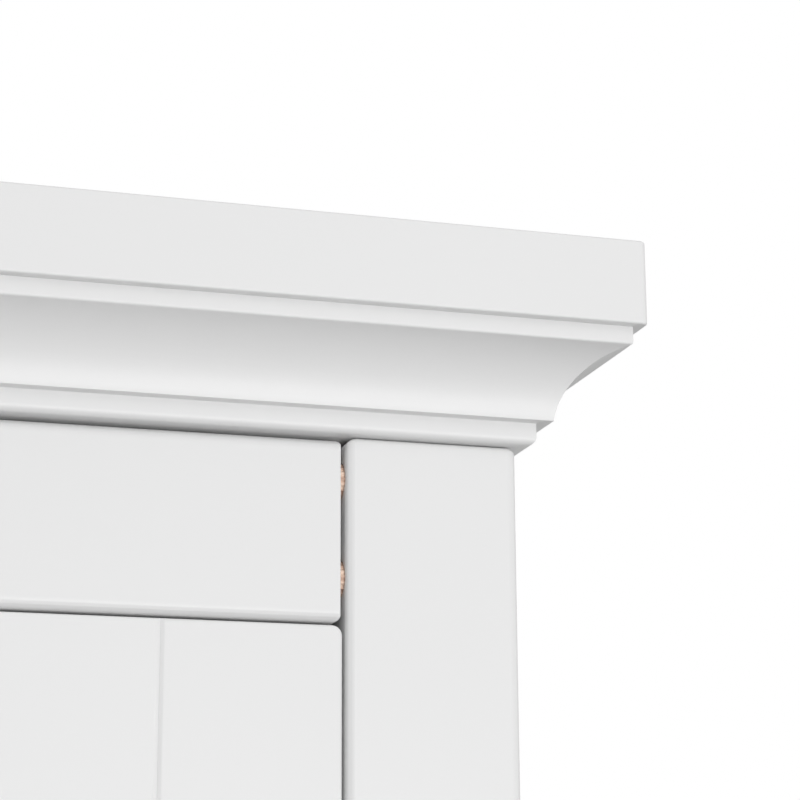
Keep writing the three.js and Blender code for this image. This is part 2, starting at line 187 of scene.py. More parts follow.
def makeWood(name, axis, wood):
    material, tree, shader, place = startMaterial(name)
    fibre = addNoise(tree, place, grainScale(axis, *wood["fibre"]), 4, 0.65)
    blend = tree.nodes.new("ShaderNodeMix")
    blend.inputs["Factor"].default_value = 0.4
    tree.links.new(addRings(tree, place, axis, wood["rings"], wood["warp"]), blend.inputs["A"])
    tree.links.new(fibre, blend.inputs["B"])
    tree.links.new(addRamp(tree, blend.outputs["Result"], wood["colours"]), shader.inputs["Base Color"])
    tree.links.new(addRange(tree, fibre, *wood["roughness"]), shader.inputs["Roughness"])
    tree.links.new(addBump(tree, fibre, wood["depth"]), shader.inputs["Normal"])
    return material


metals = {
    "nickel": {"colours": [(0.3, (0.60, 0.58, 0.54)), (0.7, (0.68, 0.66, 0.62))],
               "lines": (90, 2400), "depth": 0.01 * mm, "roughness": (0.24, 0.38)},
    "chrome": {"colours": [(0.3, (0.80, 0.80, 0.81)), (0.7, (0.86, 0.86, 0.87))],
               "lines": (40, 300), "depth": 0.002 * mm, "roughness": (0.06, 0.16)},
    "magnet": {"colours": [(0.3, (0.16, 0.16, 0.165)), (0.7, (0.24, 0.24, 0.24))],
               "lines": (500, 500), "depth": 0.02 * mm, "roughness": (0.4, 0.55)},
}


def makeMetal(name, axis, metal):
    material, tree, shader, place = startMaterial(name)
    shader.inputs["Metallic"].default_value = 1
    lines = addNoise(tree, place, grainScale(axis, *metal["lines"]), 3, 0.6)
    smudge = addNoise(tree, place, (25, 25, 25), 3)
    tree.links.new(addRamp(tree, smudge, metal["colours"]), shader.inputs["Base Color"])
    tree.links.new(addRange(tree, lines, *metal["roughness"]), shader.inputs["Roughness"])
    tree.links.new(addBump(tree, lines, metal["depth"]), shader.inputs["Normal"])
    return material


# The material of one kind and grain axis, made when it is first asked for
def finish(kind, axis):
    name = kind + axisNames[axis]
    if name in bpy.data.materials:
        return bpy.data.materials[name]
    if kind in woods:
        return makeWood(name, axis, woods[kind])
    if kind in metals:
        return makeMetal(name, axis, metals[kind])
    return makePaint(name, axis)


# Shaping tools

hair = 0.02 * mm  # clearance where faces would coincide
overrun = 10 * mm  # how far a tool or an uncut length runs past the work


def linkMesh(name, bm):
    bmesh.ops.recalc_face_normals(bm, faces=bm.faces)
    mesh = bpy.data.meshes.new(name)
    bm.to_mesh(mesh)
    bm.free()
    piece = bpy.data.objects.new(name, mesh)
    bpy.context.scene.collection.objects.link(piece)
    return piece


def takeMesh(piece):
    mesh = piece.data
    bpy.data.objects.remove(piece)
    return mesh


# Cuts a shape from a piece, or with another operation joins or intersects them
def carve(piece, tool, operation="DIFFERENCE"):
    cutter = linkMesh("cutter", tool)
    modifier = piece.modifiers.new("carve", "BOOLEAN")
    modifier.operation = operation
    modifier.solver = "EXACT"
    modifier.object = cutter
    depsgraph = bpy.context.evaluated_depsgraph_get()
    carved = bpy.data.meshes.new_from_object(piece.evaluated_get(depsgraph))
    piece.modifiers.clear()
    piece.data = carved
    bpy.data.objects.remove(cutter)


def finishPiece(piece, kind, axis, body, nodes=(), sharpAngle=35):
    piece.data.materials.clear()
    piece.data.materials.append(finish(kind, axis))
    piece.data.shade_smooth()
    piece.data.set_sharp_from_angle(angle=math.radians(sharpAngle))
    normals = piece.modifiers.new("faceNormals", "WEIGHTED_NORMAL")
    normals.keep_sharp = True
    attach(piece, body)
    if nodes:
        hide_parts(*nodes)


# A block between two opposite corners, given in any order
def addBlock(bm, corner, opposite):
    low = Vector(map(min, corner, opposite))
    high = Vector(map(max, corner, opposite))
    made = bmesh.ops.create_cube(bm, size=1)["verts"]
    bmesh.ops.scale(bm, vec=high - low, verts=made)
    bmesh.ops.translate(bm, vec=(low + high) / 2, verts=made)


# A round bar along one axis about its middle
def addBar(bm, axis, middle, radius, length, steps=32):
    made = bmesh.ops.create_cone(
        bm, cap_ends=True, segments=steps, radius1=radius, radius2=radius, depth=length)["verts"]
    turn = Vector((0, 0, 1)).rotation_difference(Vector(i == axis for i in range(3)))
    bmesh.ops.rotate(bm, cent=(0, 0, 0), matrix=turn.to_matrix(), verts=made)
    bmesh.ops.translate(bm, vec=middle, verts=made)


def edgesAlong(bm, axis):
    return [edge for edge in bm.edges
            if abs((edge.verts[0].co - edge.verts[1].co).normalized()[axis]) > 0.99]


def bevelEdges(bm, edges, width, steps):
    bmesh.ops.bevel(bm, geom=edges, offset=width, offset_type="OFFSET", segments=steps, profile=0.5,
                    affect="EDGES", clamp_overlap=True, material=-1)


# A block with its edges eased, and with its corners rounded more as seen along the `thin` axis if `corner` is
# wider. Ends of the block at the X places in `plain` stay square
def roundedBlock(low, high, thin, corner, ease, plain=()):
    bm = bmesh.new()
    addBlock(bm, low, high)
    kept = {edge for edge in bm.edges for x in plain
            if all(abs(vert.co.x - x) < hair for vert in edge.verts)}
    if corner > ease:
        bevelEdges(bm, [edge for edge in edgesAlong(bm, thin) if edge not in kept], corner, 5)
        kept |= set(edgesAlong(bm, thin))
    bevelEdges(bm, [edge for edge in bm.edges if edge not in kept], ease, 4)
    return bm


# A board moulded along its grain and then cut to length, so its long edges are rounder than its ends. The
# shape that it is cut to stands a hair clear of its long faces, because faces that coincide can't be cut
def mouldedBoard(name, low, high, thin, grain, arris, corner, end):
    bar = bmesh.new()
    past = Vector(overrun if i == grain else 0 for i in range(3))
    addBlock(bar, low - past, high + past)
    bevelEdges(bar, edgesAlong(bar, grain), arris, 5)
    piece = linkMesh(name, bar)
    clear = Vector(0 if i == grain else hair for i in range(3))
    carve(piece, roundedBlock(low - clear, high + clear, thin, corner, end), "INTERSECT")
    return piece


# A profile of (radius, height) points spun about an axis that starts at `seat` and points `way`
def turnedShape(profile, seat, way, steps=40):
    bm = bmesh.new()
    verts = [bm.verts.new((radius, 0, up)) for radius, up in profile]
    edges = [bm.edges.new(pair) for pair in zip(verts, verts[1:])]
    bmesh.ops.spin(bm, geom=verts + edges, cent=(0, 0, 0), axis=(0, 0, 1), angle=2 * math.pi,
                   steps=steps, use_merge=True)
    bmesh.ops.remove_doubles(bm, verts=bm.verts, dist=0.001 * mm)
    turnAndMove(bm, list(bm.verts), seat, way)
    return bm


def turnAndMove(bm, verts, seat, way):
    turn = Vector((0, 0, 1)).rotation_difference(Vector(way)).to_matrix()
    bmesh.ops.rotate(bm, cent=(0, 0, 0), matrix=turn, verts=verts)
    bmesh.ops.translate(bm, vec=seat, verts=verts)


# A copy of a mesh in a bmesh, moved to `seat` with its Z axis pointing `way`
def addCopy(bm, mesh, seat, way=(0, 0, 1)):
    before = len(bm.verts)
    bm.from_mesh(mesh)
    bm.verts.ensure_lookup_table()
    turnAndMove(bm, bm.verts[before:], seat, way)


# Boards. `thin` is the axis of the thickness, 0 for X, 1 for Y, 2 for Z. A board `between` two others ends at
# their faces, and only its tongues run on into their grooves. Widths of the rounding are in millimetres:
# `arris` along the grain, `end` at the ends and `corner` as seen on the broad faces. The sides in `plain`,
# 0 for the left and 1 for the right, stay square where they meet another board

boards = {
    "top_slab": {"thin": 2, "grain": 0, "arris": 0.7, "end": 0.7, "corner": 2},
    "top_back_rail": {"thin": 1, "grain": 0, "arris": 0.8},
    "left_stile": {"thin": 1, "grain": 2, "arris": 2.5, "end": 1.3, "corner": 3},
    "right_stile": {"thin": 1, "grain": 2, "arris": 2.5, "end": 1.3, "corner": 3},
    "left_side_panel": {"thin": 0, "grain": 2, "arris": 0.8},
    "right_side_panel": {"thin": 0, "grain": 2, "arris": 0.8},
    "back_panel": {"thin": 1, "grain": 2, "arris": 0.5},
    "door_stop": {"thin": 1, "grain": 0, "arris": 1.5, "end": 1.5, "corner": 3},
    "drawer_front": {"thin": 1, "grain": 0, "arris": 2, "corner": 2.6},
    "drawer_left_side": {"thin": 0, "grain": 1, "arris": 0.8, "kind": "pine"},
    "drawer_right_side": {"thin": 0, "grain": 1, "arris": 0.8, "kind": "pine"},
    "drawer_back": {"thin": 1, "grain": 0, "arris": 0.8, "kind": "pine"},
    "drawer_bottom": {"thin": 2, "grain": 0, "arris": 0.4, "kind": "plywood"},
}
rails = ("top_rail", "middle_rail", "bottom_rail")
for rail in rails:
    boards[rail] = {"thin": 1, "grain": 0, "arris": 3.2, "end": 0.6, "corner": 1.8}
shelves = ("hat_shelf", "wardrobe_floor", "base_panel")
for shelf in shelves:
    boards[shelf] = {"thin": 2, "grain": 0, "arris": 1.2, "end": 0.8,
                     "between": ("left_side_panel", "right_side_panel")}
doorStiles = {"left": ("hinge_stile", "meeting_stile"), "right": ("meeting_stile", "hinge_stile")}
doorRails = ("top_rail", "bottom_rail")
for side, members in doorStiles.items():
    stiles = [f"{side}_door_{member}" for member in members]
    for stile, plain in zip(stiles, (1, 0)):
        boards[stile] = {"thin": 1, "grain": 2, "arris": 0.9, "corner": 2.8, "plain": [plain]}
    for member in doorRails:
        boards[f"{side}_door_{member}"] = {"thin": 1, "grain": 0, "arris": 0.9, "between": stiles,
                                           "plain": [0, 1]}
    boards[f"{side}_door_panel"] = {"thin": 1, "grain": 2, "arris": 0.5}

joint = {
    "gap": 0.03 * mm,  # between two boards that meet
    "grooveGap": 0.3 * mm,
    "tongueEase": 0.8 * mm,
    "tenonShoulder": 6 * mm,  # at the outer and inner edges of a door's rail
    "veeHalf": 1.4 * mm, "veeDeep": 0.5 * mm,  # shallow groove down the front of a door's joints
}


def tongueSpan(node):
    low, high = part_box(node)
    if node in shelves:  # the lower half of the shelf's thickness
        return low + Vector((0, 0, joint["tongueEase"])), Vector((high.x, high.y, (low.z + high.z) / 2))
    panelLow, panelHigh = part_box(node.split("_door_")[0] + "_door_panel")
    low.y, high.y = panelLow.y, panelHigh.y
    shoulder = Vector((0, 0, joint["tenonShoulder"]))
    return low + shoulder, high - shoulder


def makeBoard(node):
    board = boards[node]
    low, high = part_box(node)
    if "between" in board:
        first, last = board["between"]
        low.x = faceX(first, 1) + joint["gap"]
        high.x = faceX(last, -1) - joint["gap"]
    arris = board["arris"] * mm
    end = board.get("end", board["arris"]) * mm
    corner = board.get("corner", board["arris"]) * mm
    if end == arris:
        plain = [(low, high)[end].x for end in board.get("plain", [])]
        shape = roundedBlock(low, high, board["thin"], corner, arris, plain)
        piece = linkMesh(camelName(node), shape)
    else:
        piece = mouldedBoard(camelName(node), low, high, board["thin"], board["grain"], arris, corner, end)
    if "between" in board:
        tongue = bmesh.new()
        addBlock(tongue, *tongueSpan(node))
        carve(piece, tongue, "UNION")
    return piece


pieces = {node: makeBoard(node) for node in boards}


def carveBlock(node, low, high):
    tool = bmesh.new()
    addBlock(tool, low, high)
    carve(pieces[node], tool)


# Grooves for the doors' panels, the shelves' tongues and the drawer's bottom
room = Vector((joint["grooveGap"],) * 3)
for side, members in doorStiles.items():
    low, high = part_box(f"{side}_door_panel")
    for member in members + doorRails:
        carveBlock(f"{side}_door_{member}", low - room, high + room)
    for shelf in shelves:
        low, high = tongueSpan(shelf)
        carveBlock(f"{side}_side_panel", low - room, high + room + Vector((0, overrun, 0)))
low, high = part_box("drawer_bottom")
for node in ("drawer_front", "drawer_left_side", "drawer_right_side"):
    carveBlock(node, low - room, high + room)


# A shallow groove down the front of a door where a stile meets the rails
def carveVee(side, stile, way):
    low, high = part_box(stile)
    for node in (stile, f"{side}_door_top_rail", f"{side}_door_bottom_rail"):
        vee = bmesh.new()
        addBar(vee, 2, Vector((0, 0, 0)), joint["veeHalf"], high.z - low.z + overrun, 4)
        bmesh.ops.scale(vee, vec=(1, joint["veeDeep"] / joint["veeHalf"], 1), verts=vee.verts)
        bmesh.ops.translate(vee, vec=(faceX(stile, way), low.y, (low.z + high.z) / 2), verts=vee.verts)
        carve(pieces[node], vee)


for side, (first, last) in doorStiles.items():
    carveVee(side, f"{side}_door_{first}", 1)
    carveVee(side, f"{side}_door_{last}", -1)
print("boards shaped:", len(pieces))


# Dowels: fluted beech, two at each end of each rail

dowelLow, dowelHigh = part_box("right_upper_dowel")
dowel = {
    "radius": (dowelHigh - dowelLow).z / 2,
    "length": (dowelHigh - dowelLow).x,
    "flutes": 18,
    "fluteDepth": 0.91,  # radius at the bottom of a flute, as a share of the dowel's
    "chamfer": 1 * mm,
    "holeGap": 0.35 * mm,
    "holeSpare": 1 * mm,  # of the hole's length over the dowel's
}


def flutedDowel(middle):
    bm = bmesh.new()
    addBar(bm, 0, Vector((0, 0, 0)), dowel["radius"], dowel["length"], 2 * dowel["flutes"])
    inner = [vert for vert in bm.verts
             if round(math.atan2(vert.co.z, vert.co.y) * dowel["flutes"] / math.pi) % 2]
    bmesh.ops.scale(bm, vec=(1, dowel["fluteDepth"], dowel["fluteDepth"]), verts=inner)
    long = set(edgesAlong(bm, 0))
    bevelEdges(bm, [edge for edge in bm.edges if edge not in long], dowel["chamfer"], 2)
    bmesh.ops.translate(bm, vec=middle, verts=bm.verts)
    return bm


rows = ("upper", "lower")
drops = {row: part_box("top_rail")[1].z - middleOf(f"right_{row}_dowel").z for row in rows}
for rail in rails:
    for side in sides:
        middles = {}
        for row in rows:
            middles[row] = middleOf(f"{side}_{row}_dowel")
            middles[row].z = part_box(rail)[1].z - drops[row]
            node = f"{side}_{row}_dowel"
            name = camelName(node if rail == "top_rail" else f"{rail}_{node}")
            piece = linkMesh(name, flutedDowel(middles[row]))
            finishPiece(piece, "beech", 0, "case", [node] if rail == "top_rail" else [], 30)
        for owner in (rail, f"{side}_stile"):
            holes = bmesh.new()
            for middle in middles.values():
                radius, length = dowel["radius"] + dowel["holeGap"], dowel["length"] + dowel["holeSpare"]
                addBar(holes, 0, middle, radius, length)
            carve(pieces[owner], holes)
print("dowels set")


# Screws and other small fittings, each shaped along Z with its face at the origin

screw = {
    "head": 3.2 * mm, "shank": 1.5 * mm,  # radii
    "rim": 0.2 * mm, "headTall": 1.6 * mm, "length": 12 * mm, "tip": 3 * mm,
    "slot": 0.45 * mm, "slotReach": 2.1 * mm, "slotDeep": 0.9 * mm,
    "holeGap": 0.2 * mm, "holeSink": 0.1 * mm, "holeSpare": 1 * mm,
    "steps": 24,
}


def screwProfile():
    return [(0, 0), (screw["head"], 0), (screw["head"], -screw["rim"]), (screw["shank"], -screw["headTall"]),
            (screw["shank"], screw["tip"] - screw["length"]), (0, -screw["length"])]


# Shape of the countersunk hole for a screw, open above its seat
def screwHole(seat, way):
    head, shank = screw["head"] + screw["holeGap"], screw["shank"] + screw["holeGap"]
    above, bottom = screw["holeSpare"], -screw["length"] - screw["holeSpare"]
    profile = [(0, above), (head, above), (head, -screw["rim"] - screw["holeSink"]),
               (shank, -screw["headTall"] - screw["holeSink"]), (shank, bottom), (0, bottom)]
    return turnedShape(profile, seat, way, screw["steps"])


def crossScrew():
    piece = linkMesh("screw", turnedShape(screwProfile(), (0, 0, 0), (0, 0, 1), screw["steps"]))
    for x, y in ((screw["slot"], screw["slotReach"]), (screw["slotReach"], screw["slot"])):
        slot = bmesh.new()
        reach = Vector((x, y, screw["slotDeep"]))
        addBlock(slot, reach, -reach)
        carve(piece, slot)
    return takeMesh(piece)


# A thin disc with an eased rim
def discMesh(radius, thick, rim=0.3 * mm):
    profile = [(0, 0), (radius - rim, 0), (radius, -rim), (radius, -thick), (0, -thick)]
    return takeMesh(linkMesh("disc", turnedShape(profile, (0, 0, 0), (0, 0, 1), 32)))


def addFittings(name, kind, body, mesh, places):
    bm = bmesh.new()
    for seat, way in places:
        addCopy(bm, mesh, seat, way)
    finishPiece(linkMesh(name, bm), kind, 1, body, [], 30)


screwMesh = crossScrew()


# Hinges: a plate let into each board's edge, knuckles on a headed pin, and two countersunk screws to a plate

hinge = {
    "tall": 50 * mm,
    "knuckle": 4.4 * mm,
    "knuckleGap": 0.15 * mm,
    "plate": 1.8 * mm,
    "plateGap": 0.2 * mm,  # from the pin's axis, as seen from in front, to the plate
    "plateLead": 0.6 * mm,  # of the plate in front of the board's face
    "plateDeep": 14 * mm,
    "webLap": 1 * mm,  # of the web from knuckle to plate over the plate
    "ease": 0.3 * mm,
    "pin": 1.8 * mm, "boreGap": 0.1 * mm,
    "pinEnd": [(1.8, 25.3), (3, 25.6), (3, 26.4), (2.5, 27.4), (1.5, 27.9), (0, 28)],
    "screwSpread": 15 * mm,  # of each screw from the plate's middle
    "screwDeep": 9 * mm,  # of the screws behind the board's face
    "mortiseGap": 0.2 * mm,
}
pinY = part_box("right_upper_hinge_frame_leaf")[0].y + hinge["knuckle"]
faceBack = faceY - pinY  # the boards' faces lie this far behind the pin
knuckleEnds = [-hinge["tall"] / 2, -hinge["tall"] / 6, hinge["tall"] / 6, hinge["tall"] / 2]


# One leaf about the pin's axis, its plate on side `way`. `turns` are the numbers of its knuckles from below
def hingeLeaf(way, turns):
    near, far = way * hinge["plateGap"], way * (hinge["plateGap"] + hinge["plate"])
    tall = hinge["tall"] / 2
    front = faceBack - hinge["plateLead"]
    bm = bmesh.new()
    addBlock(bm, Vector((near, front, -tall)), Vector((far, faceBack + hinge["plateDeep"], tall)))
    bevelEdges(bm, list(bm.edges), hinge["ease"], 2)
    leaf = linkMesh("leaf", bm)
    for turn in turns:
        low = knuckleEnds[turn] + hinge["knuckleGap"]
        high = knuckleEnds[turn + 1] - hinge["knuckleGap"]
        web = bmesh.new()
        addBlock(web, Vector((near, 0, low + hinge["ease"])),
                 Vector((far, front + hinge["webLap"], high - hinge["ease"])))
        carve(leaf, web, "UNION")
        roll = bmesh.new()
        addBar(roll, 2, Vector((0, 0, (low + high) / 2)), hinge["knuckle"], high - low, 40)
        upright = set(edgesAlong(roll, 2))
        bevelEdges(roll, [edge for edge in roll.edges if edge not in upright], hinge["ease"], 2)
        carve(leaf, roll, "UNION")
    for seat in screwSeats(way):
        carve(leaf, screwHole(seat, (-way, 0, 0)))
    return leaf


def screwSeats(way):
    return [Vector((way * hinge["plateGap"], faceBack + hinge["screwDeep"], end * hinge["screwSpread"]))
            for end in (-1, 1)]


def frameLeaf(way):
    leaf = hingeLeaf(way, (0, 2))
    foot = [(radius * mm, -up * mm) for radius, up in reversed(hinge["pinEnd"])]
    head = [(radius * mm, up * mm) for radius, up in hinge["pinEnd"]]
    carve(leaf, turnedShape(foot + head, (0, 0, 0), (0, 0, 1), 28), "UNION")
    return takeMesh(leaf)


def doorLeaf(way):
    leaf = hingeLeaf(way, (1,))
    bore = bmesh.new()
    addBar(bore, 2, Vector((0, 0, 0)), hinge["pin"] + hinge["boreGap"], hinge["tall"])
    carve(leaf, bore)
    return takeMesh(leaf)


# The recess in a board's edge for a plate
def mortise(owner, way, pin):
    gap = hinge["mortiseGap"]
    reach = hinge["plateGap"] + hinge["plate"] + gap
    tall = hinge["tall"] / 2 + gap
    carveBlock(owner, pin + Vector((-way * mm, -overrun, -tall)),
               pin + Vector((way * reach, faceBack + hinge["plateDeep"] + gap, tall)))


for side, way in sides.items():
    door = f"{side}_door"
    pinX = (faceX(f"{door}_hinge_stile", way) + faceX(f"{side}_stile", -way)) / 2
    leaves = (("case", f"{side}_stile", way, frameLeaf(way), f"{side}_{{}}_hinge_frame_leaf"),
              (door, f"{door}_hinge_stile", -way, doorLeaf(-way), f"{door}_{{}}_hinge_leaf"))
    for body, owner, leafWay, mesh, nodeName in leaves:
        screws = []
        for row in ("lower", "middle", "upper"):
            node = nodeName.format(row)
            pin = Vector((pinX, pinY, middleOf(f"{door}_{row}_hinge_leaf").z))
            bm = bmesh.new()
            addCopy(bm, mesh, pin)
            finishPiece(linkMesh(camelName(node), bm), "nickel", 2, body, [node], 32)
            mortise(owner, leafWay, pin)
            screws += [(pin + seat, (-leafWay, 0, 0)) for seat in screwSeats(leafWay)]
        addFittings(camelName(f"{owner}_hinge_screws"), "nickel", body, screwMesh, screws)
print("hinges hung")


# Door stop's screws, and magnets let into it that hold steel discs let into the doors

catch = {
    "fromMiddle": 40 * mm,
    "belowTop": 10 * mm,
    "magnet": 5 * mm, "magnetThick": 2 * mm,
    "disc": 6 * mm, "discThick": 1.2 * mm,
    "pocketGap": 0.15 * mm,
    "screwPitch": 70 * mm, "screwDrop": 14 * mm,
}
stopLow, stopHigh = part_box("door_stop")
magnets = []
for side, way in sides.items():
    stile = f"{side}_door_meeting_stile"
    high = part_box(stile)[1]
    seat = Vector((way * catch["fromMiddle"], high.y, high.z - catch["belowTop"]))
    magnetSeat = Vector((seat.x, stopLow.y, seat.z))
    magnets.append((magnetSeat, (0, -1, 0)))
    for owner, place, radius, thick in ((stile, seat, catch["disc"], catch["discThick"]),
                                        ("door_stop", magnetSeat, catch["magnet"], catch["magnetThick"])):
        pocket = bmesh.new()
        addBar(pocket, 1, place, radius + catch["pocketGap"], 2 * (thick + catch["pocketGap"]))
        carve(pieces[owner], pocket)
    disc = discMesh(catch["disc"], catch["discThick"])
    addFittings(camelName(f"{side}_door_strike"), "nickel", f"{side}_door", disc, [(seat, (0, 1, 0))])
addFittings("doorMagnets", "magnet", "case", discMesh(catch["magnet"], catch["magnetThick"]), magnets)
stopScrews = [(Vector((x, stopHigh.y, stopHigh.z - catch["screwDrop"])), (0, 1, 0))
              for x in (-catch["screwPitch"], 0, catch["screwPitch"])]
addFittings("doorStopScrews", "nickel", "case", screwMesh, stopScrews)


# Knobs: turned wood, painted like the rest, each held by a screw from behind

knob = {
    "profile": [(0, 0.3), (9.6, 0.3), (10.1, 0.9), (9.7, 2), (8.4, 3.4), (7, 5.4), (6.5, 7.6), (6.8, 9.6),
                (8, 12), (10.6, 14.2), (13.4, 15.8), (15, 17.8), (15.5, 20), (15, 22.4), (13.4, 24.5),
                (10.6, 26), (6.6, 26.8), (0, 27)],
}
knobBacks = {}
for node in [name for name in frame["nodes"] if name.endswith("_knob")]:
    seat = middleOf(node)
    seat.y = faceY
    bm = turnedShape([(radius * mm, up * mm) for radius, up in knob["profile"]], seat, (0, -1, 0), 56)
    finishPiece(linkMesh(camelName(node), bm), "paint", 1, bodyOf(node), [node], 60)
    board = "drawer_front" if node.startswith("drawer") else node.replace("knob", "meeting_stile")
    back = Vector((seat.x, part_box(board)[1].y, seat.z))
    knobBacks.setdefault(bodyOf(node), []).append((back, (0, 1, 0)))
for body, places in knobBacks.items():
    addFittings(camelName(f"{body}_knob_screws"), "nickel", body, screwMesh, places)
print("knobs turned")


# Screw holes in the boards, then the boards' materials and bodies

screwed = {"door_stop": stopScrews, "drawer_front": knobBacks["drawer"]}
for side in sides:
    screwed[f"{side}_door_meeting_stile"] = knobBacks[f"{side}_door"]
for node, places in screwed.items():
    for seat, way in places:
        carve(pieces[node], screwHole(seat, way))
for node, piece in pieces.items():
    board = boards[node]
    finishPiece(piece, board.get("kind", "paint"), board["grain"], bodyOf(node), [node])
print("boards finished")


# Crown and plinth: a moulded section run along the front and both sides, mitred at the corners. Sizes are
# in millimetres, out from the case's face and up from the moulding's foot

crown = {
    "back": -22, "tall": 30.3, "bandOut": 4.5, "bandTall": 6.2, "coveFoot": (8.4, 6.8),
    "coveHead": (26, 25.3), "coveDepth": 4,
}
plinth = {
    "back": 0.3, "tall": 95, "coveFoot": (14, 77), "coveHead": (5, 89), "coveDepth": 3,
}

# Widths of the rounding along the section's corners, by the corner's place
crownRounds = {
    (crown["bandOut"], 0): 2,
    (crown["bandOut"], crown["bandTall"]): 0.4,
    crown["coveHead"]: 0.6,
}
plinthRounds = {
    (plinth["coveFoot"][0], 0): 0.8,
    plinth["coveFoot"]: 0.8,
    (plinth["coveHead"][0], plinth["tall"]): 1.2,
}


# Spins a vertex from one point of a section to another, hollowing the moulding by `depth`
def coveArc(bm, start, end, depth):
    first, last = (Vector((x, 0, z)) for x, z in (start, end))
    chord = last - first
    radius = chord.length ** 2 / (8 * depth) + depth / 2
    centre = (first + last) / 2 + Vector((chord.z, 0, -chord.x)).normalized() * (radius - depth)
    vert = bm.verts.new(first)
    angle = 2 * math.asin(chord.length / 2 / radius)
    bmesh.ops.spin(bm, geom=[vert], cent=centre, axis=(0, 1, 0), angle=angle, steps=16)
    return sorted(bm.verts, key=lambda spun: spun.co.z)


def closeSection(bm, below, cove, above):
    loop = [bm.verts.new((x, 0, z)) for x, z in below] + cove
    loop += [bm.verts.new((x, 0, z)) for x, z in above]
    bm.faces.new(loop)
    return bm


def crownSection():
    bm = bmesh.new()
    cove = coveArc(bm, crown["coveFoot"], crown["coveHead"], crown["coveDepth"])
    below = [(crown["back"], 0), (crown["bandOut"], 0), (crown["bandOut"], crown["bandTall"]),
             (crown["coveFoot"][0], crown["bandTall"])]
    above = [(crown["coveHead"][0], crown["tall"]), (crown["back"], crown["tall"])]
    return closeSection(bm, below, cove, above)


def plinthSection():
    bm = bmesh.new()
    cove = coveArc(bm, plinth["coveFoot"], plinth["coveHead"], plinth["coveDepth"])
    below = [(plinth["back"], 0), (plinth["coveFoot"][0], 0)]
    above = [(plinth["coveHead"][0], plinth["tall"]), (plinth["back"], plinth["tall"])]
    return closeSection(bm, below, cove, above)


# A length of moulding along Y, its corners rounded before it is scaled from millimetres
def runMoulding(section, rounds, start, end):
    bm = section()
    grown = bmesh.ops.extrude_face_region(bm, geom=list(bm.faces))["geom"]
    moved = [item for item in grown if isinstance(item, bmesh.types.BMVert)]
    bmesh.ops.translate(bm, vec=(0, (end - start) / mm, 0), verts=moved)
    bmesh.ops.recalc_face_normals(bm, faces=bm.faces)
    for (x, z), width in rounds.items():
        corner = Vector((x, 0, z))
        edges = [edge for edge in bm.edges
                 if all((vert.co * Vector((1, 0, 1)) - corner).length < 0.01 for vert in edge.verts)]
        bevelEdges(bm, edges, width, 5)
    bmesh.ops.scale(bm, vec=(mm, mm, mm), verts=bm.verts)
    bmesh.ops.translate(bm, vec=(0, start, 0), verts=bm.verts)
    return bm


# Cuts off what lies past a plane and closes the end
def mitre(bm, place, normal):
    geometry = list(bm.verts) + list(bm.edges) + list(bm.faces)
    cut = bmesh.ops.bisect_plane(bm, geom=geometry, dist=1e-7, plane_co=place, plane_no=normal,
                                 clear_outer=True)["geom_cut"]
    bmesh.ops.edgeloop_fill(bm, edges=[item for item in cut if isinstance(item, bmesh.types.BMEdge)])


# The uncut lengths run past their mitres by more than the moulding stands out
def mitredRuns(name, section, rounds):
    past = 60 * mm
    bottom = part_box(f"{name}_front")[0].z
    bm = runMoulding(section, rounds, -halfWidth - past, halfWidth + past)
    for way in (-1, 1):
        mitre(bm, Vector((0, way * (halfWidth - joint["gap"]), 0)), Vector((-1, way, 0)))
    bmesh.ops.rotate(bm, cent=(0, 0, 0), matrix=Matrix.Rotation(-math.pi / 2, 3, "Z"), verts=bm.verts)
    bmesh.ops.translate(bm, vec=(0, faceY, bottom), verts=bm.verts)
    finishPiece(linkMesh(f"{name}Front", bm), "paint", 0, "case", [f"{name}_front"], 28)
    for side, way in sides.items():
        node = f"{name}_{side}"
        bm = runMoulding(section, rounds, faceY - past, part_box(node)[1].y)
        mitre(bm, Vector((0, faceY + joint["gap"], 0)), Vector((-1, -1, 0)))
        bmesh.ops.translate(bm, vec=(halfWidth, 0, bottom), verts=bm.verts)
        bmesh.ops.scale(bm, vec=(way, 1, 1), verts=bm.verts)
        finishPiece(linkMesh(camelName(node), bm), "paint", 1, "case", [node], 28)


mitredRuns("crown", crownSection, crownRounds)
mitredRuns("plinth", plinthSection, plinthRounds)
print("mouldings run")


# Hanging rod: a chromed tube in a cup at either end, with three screws to a cup

